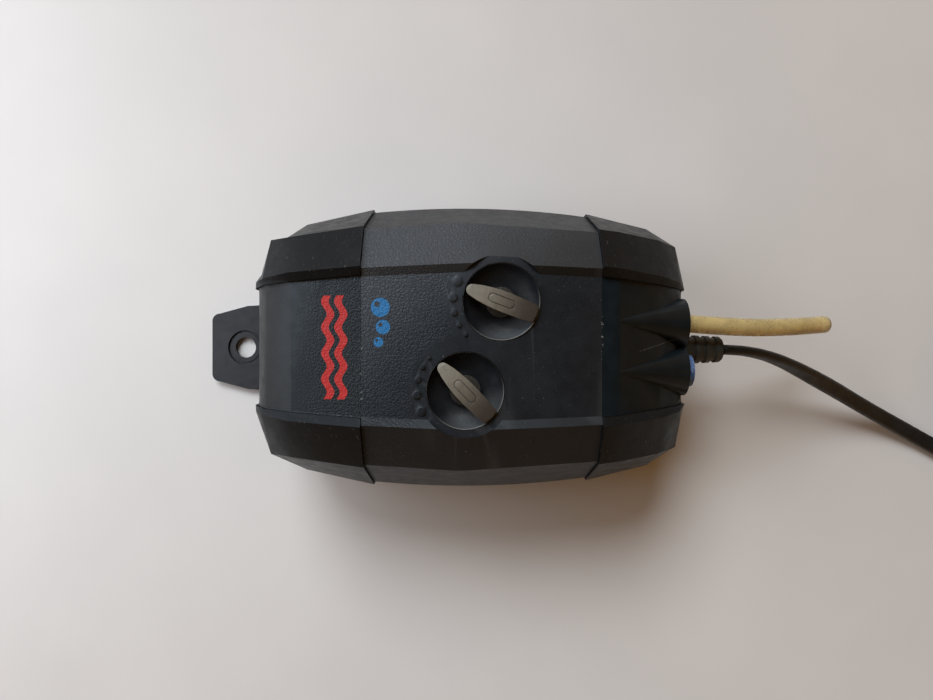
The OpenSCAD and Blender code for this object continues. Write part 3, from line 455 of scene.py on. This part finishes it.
def laminations(name):
    """A stack of 0.5 mm varnished steel sheets, seen as fine lines across Z."""
    g = Graph(name)
    lines = g.math("FRACT", g.math("DIVIDE", g.axis(2), 0.5 * MM))
    gap = g.ramp(lines, 0.8, 0.95)
    colour = g.mix(g.ramp(g.noise(2 * MM, 4.0), 0.35, 0.7), shade((96, 92, 88)), shade((126, 120, 112)))
    colour = g.mix(g.math("MULTIPLY", gap, 0.7), colour, shade((40, 36, 32)))
    rust = g.math("MULTIPLY", g.ramp(g.noise(1.5 * MM, 5.0, 0.7), 0.6, 0.72), 0.5)
    colour = g.mix(rust, colour, shade((112, 66, 38)))
    skin = g.bump(g.math("SUBTRACT", 1.0, gap), 0.05 * MM)
    return g.finish(Base_Color=colour, Roughness=g.ramp(rust, 0.0, 0.5, 0.35, 0.7), Normal=skin, Metallic=0.8)


def enamelled_wire(name):
    """Turns of enamelled copper wire, 0.35 mm across, wound round the X axis."""
    g = Graph(name)
    turns = g.math("FRACT", g.math("DIVIDE", g.axis(0), 0.35 * MM))
    round_top = g.math("SINE", g.math("MULTIPLY", turns, math.pi))
    colour = g.mix(g.ramp(g.noise(1.2 * MM, 4.0), 0.35, 0.7), shade((150, 74, 38)), shade((196, 110, 62)))
    # Painted shade in the grooves between neighbouring turns
    colour = g.mix(g.ramp(round_top, 0.0, 0.5, 0.7, 0.0), colour, shade((66, 28, 16)))
    skin = g.bump(round_top, 0.12 * MM)
    return g.finish(Base_Color=colour, Roughness=g.ramp(g.noise(2 * MM), 0.3, 0.7, 0.2, 0.36), Normal=skin,
                    Metallic=0.85)


def felt(name):
    """The filter pad: matted grey fibres."""
    g = Graph(name)
    fibres = g.noise(0.5 * MM, 6.0, 0.75, stretch=(1, 3, 1), distortion=2.0)
    colour = g.mix(g.ramp(fibres, 0.35, 0.7), shade((120, 116, 108)), shade((182, 178, 168)))
    skin = g.bump(fibres, 0.3 * MM)
    return g.finish(Base_Color=colour, Roughness=g.ramp(fibres, 0.3, 0.7, 0.8, 0.97), Normal=skin,
                    Sheen_Weight=0.4)


def floor_finish(name):
    """A pale, very slightly uneven studio sheet."""
    g = Graph(name)
    colour = g.mix(g.ramp(g.noise(90 * MM, 3.0), 0.3, 0.7), shade((215, 214, 216)), shade((220, 219, 220)))
    skin = g.bump(g.noise(1.1 * MM, 3.0), 0.01 * MM)
    return g.finish(Base_Color=colour, Roughness=g.ramp(g.noise(30 * MM), 0.3, 0.7, 0.55, 0.65), Normal=skin,
                    Specular_IOR_Level=0.25)


MATERIALS = {
    "casing": grained_casing("grained_anthracite"),
    "tab_end": end_casing("tab_end_grey"),
    "outlet_end": outlet_casing("outlet_end_black"),
    "base": moulded("base_navy_black", (30, 33, 40), rough=0.42, wear=0.15),
    "bumper": rubber("bumper_rubber", (11, 14, 18)),
    "dish_1": polished_dish_painted_reflection("dish_gloss_painted_reflection_1", JOINTS["dial_1_turn"]),
    "dish_2": polished_dish_painted_reflection("dish_gloss_painted_reflection_2", JOINTS["dial_2_turn"]),
    "handle_1": worn_handle("handle_worn_1", JOINTS["dial_1_turn"], POINTER_1_DEGREES),
    "handle_2": worn_handle("handle_worn_2", JOINTS["dial_2_turn"], POINTER_2_DEGREES),
    "white": moulded("inner_white_plastic", (205, 203, 196), rough=0.42, dust=0.2, mottle=0.05, wear=0.05),
    "ivory": moulded("inner_ivory_plastic", (196, 188, 160), rough=0.4, dust=0.2, mottle=0.06, wear=0.05),
    "seal": rubber("seal_rubber", (26, 26, 27), rough=0.5),
    "flap": rubber("flap_rubber", (44, 40, 38), rough=0.55),
    "cap": blue_cap("cap_blue"),
    "sheath": sheath("cord_sheath", (18, 23, 26)),
    "relief": sheath("relief_rubber", (46, 49, 47), rough=0.5),
    "plug": moulded("plug_black", (28, 28, 30), rough=0.36),
    "tie": moulded("tie_black", (34, 34, 36), rough=0.5),
    "airline": silicone("airline_yellowed", (214, 198, 146), clear=0.5),
    "hose": silicone("hose_clear", (214, 210, 196), clear=0.35),
    "brass": metal("nickelled_brass", (196, 190, 172), rough=0.26),
    "zinc": metal("zinc_plated_steel", (168, 168, 166), rough=0.34),
    "pin": metal("bright_steel", (190, 190, 192), rough=0.22, line=(1, 1, 8)),
    "core": laminations("laminated_core"),
    "ferrite": moulded("ferrite_grey", (58, 56, 58), rough=0.62, grain=0.18 * MM, grain_depth=0.05 * MM),
    "copper": enamelled_wire("enamelled_copper"),
    "wire": sheath("wire_pvc", (122, 96, 62), rough=0.38),
    "felt": felt("filter_felt"),
}

# Which material each CAD node wears
WEARS = {
    "casing": ["centre_cover"],
    "tab_end": ["tab_end_cover"],
    "outlet_end": ["outlet_end_cover"],
    "base": ["base_shell", "filter_cover"],
    "bumper": [f"corner_bumper_{k}" for k in (1, 2, 3, 4)],
    "dish_1": ["dial_cup_1"],
    "dish_2": ["dial_cup_2"],
    "handle_1": ["control_knob_1"],
    "handle_2": ["control_knob_2"],
    "white": ["valve_spindle_1", "valve_spindle_2", "head_cover_1", "head_cover_2", "coil_bobbin",
              "terminal_block"],
    "ivory": ["regulator_body_1", "regulator_body_2", "pump_head_1", "pump_head_2", "diaphragm_clamp_1",
              "diaphragm_clamp_2"],
    "seal": ["spindle_seal_1", "spindle_seal_2", "rubber_mounts"],
    "flap": ["valve_flaps", "diaphragm_1", "diaphragm_2"],
    "cap": ["blanking_cap"],
    "relief": ["strain_relief"],
    "sheath": ["inner_lead", "mains_cord", "cord_coil", "cord_tail"],
    "plug": ["mains_plug"],
    "tie": ["coil_tie"],
    "airline": ["airline_tube"],
    "hose": ["feed_hoses", "outlet_hoses"],
    "brass": ["outlet_nozzle_1", "outlet_nozzle_2", "terminal_screws", "plug_pins"],
    "zinc": ["motor_frame", "case_screws", "head_screws", "swing_arm_1", "swing_arm_2"],
    "pin": ["pivot_pins"],
    "core": ["magnet_core"],
    "ferrite": ["arm_magnet_1", "arm_magnet_2"],
    "copper": ["coil_winding"],
    "wire": ["lead_wires"],
    "felt": ["filter_pad"],
}


# ---------------------------------------------------------------- mesh helpers
def mesh_piece(name, points, faces, material):
    """A smooth mesh in the row frame that rides on the casing. Points are in metres."""
    mesh = bpy.data.meshes.new(name)
    mesh.from_pydata([tuple(p) for p in points], [], faces)
    mesh.validate()
    mesh.update()
    for face in mesh.polygons:
        face.use_smooth = True
    piece = bpy.data.objects.new(name, mesh)
    bpy.context.scene.collection.objects.link(piece)
    mesh.materials.append(MATERIALS[material])
    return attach(piece, "casing")


WELD_WITHIN = 0.002 * MM
CRISP_EDGE_DEGREES = 32
BEVEL_STEPS = 2
FLAT_FACE_WEIGHT = 80


def soft_edges(piece, width):
    """Rounds a piece's crisp edges without touching its own mesh."""
    weld = piece.modifiers.new("weld", "WELD")
    weld.merge_threshold = WELD_WITHIN
    bevel = piece.modifiers.new("bevel", "BEVEL")
    bevel.width = width
    bevel.segments = BEVEL_STEPS
    bevel.limit_method = "ANGLE"
    bevel.angle_limit = math.radians(CRISP_EDGE_DEGREES)
    bevel.use_clamp_overlap = True
    piece.modifiers.new("even_normals", "WEIGHTED_NORMAL").weight = FLAT_FACE_WEIGHT
    for face in piece.data.polygons:
        face.use_smooth = True


def between(a, b, c, d, t):
    """Catmull-Rom: the point t of the way from b to c."""
    bend = (2 * a - 5 * b + 4 * c - d) * t * t
    twist = (3 * b - a - 3 * c + d) * t ** 3
    return 0.5 * ((2 * b) + (c - a) * t + bend + twist)


def smooth_route(route, steps):
    """A smooth curve through the route's points, with steps pieces between each pair."""
    ends = [2 * route[0] - route[1], *route, 2 * route[-1] - route[-2]]
    made = []
    for i in range(1, len(ends) - 2):
        made += [between(*ends[i - 1:i + 3], k / steps) for k in range(steps)]
    return made + [route[-1]]


def eased(values, steps):
    """Numbers that go with smooth_route's points."""
    made = []
    for a, b in zip(values, values[1:]):
        made += [a + (b - a) * k / steps for k in range(steps)]
    return made + [values[-1]]


def swept(path, ring, twists=None):
    """The points and side faces of a ring of (across, up) pairs swept along a path, turned by twists."""
    points, faces = [], []
    for i, p in enumerate(path):
        run = (path[min(i + 1, len(path) - 1)] - path[max(i - 1, 0)]).normalized()
        side = UP.cross(run).normalized()
        rise = run.cross(side)
        turn = math.radians(twists[i]) if twists else 0.0
        across = side * math.cos(turn) + rise * math.sin(turn)
        above = rise * math.cos(turn) - side * math.sin(turn)
        points += [p + across * u + above * v for u, v in ring]
    n = len(ring)
    for i in range(len(path) - 1):
        for k in range(n):
            a, b = i * n + k, i * n + (k + 1) % n
            faces.append((a, b, b + n, a + n))
    return points, faces


# ---------------------------------------------------------------- camera
CAMERA_AT = Vector((12.3 * MM, -1.0 * MM, 279 * MM))    # it looks straight down
LENS_MM, SENSOR_MM = 27.0, 36.0
camera_data = bpy.data.cameras.new("camera")
camera_data.lens = LENS_MM
camera_data.sensor_width = SENSOR_MM
camera_data.clip_start = 0.01
camera_data.dof.use_dof = False
camera = bpy.data.objects.new("camera", camera_data)
camera.location = CAMERA_AT
bpy.context.scene.collection.objects.link(camera)
bpy.context.scene.camera = camera

# ---------------------------------------------------------------- cords
# The flat mains cord's free run, in the casing's millimetres, and how far it has turned on edge at each point
MAINS_ROUTE = [
    (87.4, -0.8, 33), (96.3, -1.4, 32.2), (104.8, -3, 29.7), (112.8, -5.5, 26.4), (120.4, -8.5, 22.8),
    (127.9, -11.7, 19), (135.4, -15, 15.3), (142.9, -18.5, 11.8), (150.4, -22.2, 8.6), (158.1, -26, 6),
    (165.9, -29.9, 4), (173.8, -34, 2.6), (181.7, -38.3, 2), (189.5, -42.6, 1.9), (197.3, -47, 1.9),
    (205.2, -51.4, 2.1), (213, -55.8, 2.5)]
MAINS_TWIST = [90, 89, 82, 68, 50, 32, 16, 5, 0, 0, 0, 0, 0, 0, 0, 0, 0]
TAIL_ROUTE = [(274.2, -20, 6.5), (274.2, -13, 6.5), (274.2, -7, 6.6), (274.2, 0, 6.8), (274.2, 6, 7)]
CORD_WIDE, CORD_THICK = 6 * MM, 3.8 * MM
CORD_SIDES = 20
SIDE_SQUARENESS = 0.8           # below 1, the outline is boxier than an ellipse
WAIST_DEPTH, WAIST_WIDTH = 0.16, 0.28
ROUTE_STEPS = 4
# The unseen length, wound in a flat coil of two layers of three turns
COIL_AT = (233, -20)
COIL_RADII = [41.2, 35, 28.8, 28.8, 35, 41.2, 41.2]
COIL_LOW, COIL_HIGH = 2.5, 6.4
LAYER_TURNS = 3
END_LIFT = 0.1 / 120            # how much the last part turn rises towards the tail, mm for each degree
COIL_START = 240.8              # where the free run meets the outer turn, degrees
COIL_TURN_POINTS = 48
CROSSING = 60                   # each turn moves to the next over this many degrees


def eased_step(t):
    t = min(max(t, 0.0), 1.0)
    return t * t * (3 - 2 * t)


def coil_path():
    """The coil's line: inwards on the lower layer, up, and outwards on the upper one."""
    total = 360 * (len(COIL_RADII) - 1) + 360 - COIL_START
    count = round(total / 360 * COIL_TURN_POINTS)
    made = []
    for k in range(1, count):
        turned = total * k / count
        lap, part = divmod(turned, 360)
        lap = int(lap)
        radius, z = COIL_RADII[lap], COIL_LOW if lap < LAYER_TURNS else COIL_HIGH
        into = part - (360 - CROSSING)
        if lap == LAYER_TURNS - 1:
            z += (COIL_HIGH - COIL_LOW) * eased_step(2 * into / CROSSING - 1)
        elif lap < len(COIL_RADII) - 1:
            radius += (COIL_RADII[lap + 1] - radius) * eased_step(2 * into / CROSSING)
        if lap == len(COIL_RADII) - 1:
            z += END_LIFT * part
        angle = math.radians(COIL_START + turned)
        made.append(at(COIL_AT[0] + radius * math.cos(angle), COIL_AT[1] + radius * math.sin(angle), z))
    return made


def flat_outline():
    """A flat two-core cord: round edges and a shallow waist between its cores."""
    ring = []
    for k in range(CORD_SIDES):
        a = 2 * math.pi * k / CORD_SIDES
        u, v = math.cos(a), math.sin(a)
        u = math.copysign(abs(u) ** SIDE_SQUARENESS, u)
        waist = 1 - WAIST_DEPTH * math.exp(-(u / WAIST_WIDTH) ** 2)
        ring.append((u * CORD_WIDE / 2, v * waist * CORD_THICK / 2))
    return ring


def make_mains_cord():
    """The flat mains cord from its relief, through the free run and the coil, to the plug."""
    free = smooth_route([at(*p) for p in MAINS_ROUTE], ROUTE_STEPS)
    tail = smooth_route([at(*p) for p in TAIL_ROUTE], ROUTE_STEPS)
    path = free + coil_path() + tail
    twists = eased(MAINS_TWIST, ROUTE_STEPS) + [0] * (len(path) - len(free))
    points, faces = swept(path, flat_outline(), twists)
    count = len(points)
    faces += [tuple(reversed(range(CORD_SIDES))), tuple(range(count - CORD_SIDES, count))]
    cord = mesh_piece("mains_flex", points, faces, "sheath")
    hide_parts("mains_cord", "cord_coil", "cord_tail")


AIRLINE_ROUTE = [
    (63, 8, 42), (67.7, 8, 42), (72.4, 7.9, 42), (77.1, 7.6, 41.9), (81.8, 7.3, 41.6), (86.5, 7, 41.2),
    (91.2, 6.8, 40.6), (95.8, 6.7, 39.7), (100.4, 6.7, 38.6), (104.9, 6.8, 37.3), (109.4, 7, 35.9),
    (113.8, 7.2, 34.2), (118.1, 7.5, 32.3), (122.3, 7.8, 30.2), (126.5, 8.1, 28)]
AIRLINE_OUTER, AIRLINE_INNER = 3.0 * MM, 2.1 * MM
AIRLINE_SIDES = 28


def make_airline():
    """A cut length of silicone tube, pushed over its nozzle and held up by its own stiffness."""
    path = smooth_route([at(*p) for p in AIRLINE_ROUTE], ROUTE_STEPS)
    turn = [2 * math.pi * k / AIRLINE_SIDES for k in range(AIRLINE_SIDES)]
    outer, faces = swept(path, [(AIRLINE_OUTER * math.cos(a), AIRLINE_OUTER * math.sin(a)) for a in turn])
    inner, bore = swept(path, [(AIRLINE_INNER * math.cos(a), AIRLINE_INNER * math.sin(a)) for a in turn])
    points = outer + inner
    count = len(outer)
    faces += [tuple(count + v for v in reversed(face)) for face in bore]
    for first in (0, count - AIRLINE_SIDES):
        for k in range(AIRLINE_SIDES):
            a, b = first + k, first + (k + 1) % AIRLINE_SIDES
            rim = (a, a + count, b + count, b)
            faces.append(rim if first == 0 else tuple(reversed(rim)))
    hose = mesh_piece("airline_hose", points, faces, "airline")
    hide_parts("airline_tube")


make_mains_cord()
make_airline()

# ---------------------------------------------------------------- CAD nodes
# Rounding of each node's crisp edges, in millimetres
ROUNDING = {
    "centre_cover": 0.5, "tab_end_cover": 0.5, "outlet_end_cover": 0.5, "base_shell": 0.4,
    "corner_bumper_1": 0.6, "corner_bumper_2": 0.6, "corner_bumper_3": 0.6, "corner_bumper_4": 0.6,
    "control_knob_1": 0.35, "control_knob_2": 0.35, "dial_cup_1": 0.25, "dial_cup_2": 0.25,
    "blanking_cap": 0.5, "strain_relief": 0.3, "mains_plug": 0.8, "coil_tie": 0.25,
}
SMALL_ROUNDING = 0.12

for material_name, node_names in WEARS.items():
    for node_name in node_names:
        node = NODES[node_name]
        node.data.materials.clear()
        node.data.materials.append(MATERIALS[material_name])
        soft_edges(node, ROUNDING.get(node_name, SMALL_ROUNDING) * MM)

# ---------------------------------------------------------------- studio
HALF_FLOOR = 3.0


def lay_floor():
    """The pale sheet that the pump lies on."""
    half = HALF_FLOOR
    corners = [(-half, -half, 0), (half, -half, 0), (half, half, 0), (-half, half, 0)]
    mesh = bpy.data.meshes.new("floor")
    mesh.from_pydata(corners, [], [(0, 1, 2, 3)])
    floor = bpy.data.objects.new("floor", mesh)
    mesh.materials.append(floor_finish("studio_floor"))
    bpy.context.scene.collection.objects.link(floor)


lay_floor()


def hang(name, lamp, place, target):
    """Puts a lamp at a place, facing a target."""
    holder = bpy.data.objects.new(name, lamp)
    holder.location = place
    holder.rotation_euler = (Vector(target) - Vector(place)).to_track_quat("-Z", "Y").to_euler()
    bpy.context.scene.collection.objects.link(holder)


def softbox(name, place, target, size, power, rgb):
    """A square area light."""
    lamp = bpy.data.lights.new(name, "AREA")
    lamp.shape = "SQUARE"
    lamp.size = size
    lamp.energy = power
    lamp.color = rgb
    hang(name, lamp, place, target)


def window(name, place, spread, strength, rgb):
    """A large distant light, as wide as spread degrees, that shines on the whole stage alike."""
    lamp = bpy.data.lights.new(name, "SUN")
    lamp.angle = math.radians(spread)
    lamp.energy = strength
    lamp.color = rgb
    hang(name, lamp, place, (0, 0, 0))


# Strengths of the room's light at the horizon and straight above, and its colours as light and as seen
ROOM_AT_HORIZON, ROOM_ABOVE = 1.45, 0.04
ROOM_WARMTH = (0.34, 0.16, 0.03)
ROOM_SEEN = (0.42, 0.41, 0.40)


def room_light():
    """Warm light from the room, brightest at the horizon and dim straight above. Seen directly it is grey."""
    world = bpy.data.worlds.new("room")
    bpy.context.scene.world = world
    world.use_nodes = True
    tree = world.node_tree
    background = tree.nodes["Background"]
    direction = tree.nodes.new("ShaderNodeTexCoord").outputs["Generated"]
    parts = tree.nodes.new("ShaderNodeSeparateXYZ")
    tree.links.new(direction, parts.inputs[0])
    height = tree.nodes.new("ShaderNodeMapRange")
    for socket, value in zip(height.inputs[1:], (0.0, 1.0, ROOM_AT_HORIZON, ROOM_ABOVE)):
        socket.default_value = value
    tree.links.new(parts.outputs[2], height.inputs[0])
    tree.links.new(height.outputs[0], background.inputs["Strength"])
    ray = tree.nodes.new("ShaderNodeLightPath").outputs["Is Camera Ray"]
    colour = tree.nodes.new("ShaderNodeMix")
    colour.data_type = "RGBA"
    sockets = [s for s in colour.inputs if s.type == "RGBA"]
    sockets[0].default_value = (*ROOM_WARMTH, 1)
    sockets[1].default_value = (*ROOM_SEEN, 1)
    tree.links.new(ray, colour.inputs["Factor"])
    tree.links.new([s for s in colour.outputs if s.type == "RGBA"][0], background.inputs["Color"])


window("key", place=(-0.46, 1.36, 1.39), spread=30, strength=2.16, rgb=(0.92, 0.97, 0.98))
softbox("side", place=(-0.36, 0.09, 0.25), target=(0, 0, 0.02), size=0.36, power=1.32, rgb=(0.85, 0.93, 1.0))
room_light()
bpy.context.scene.view_settings.view_transform = "Standard"
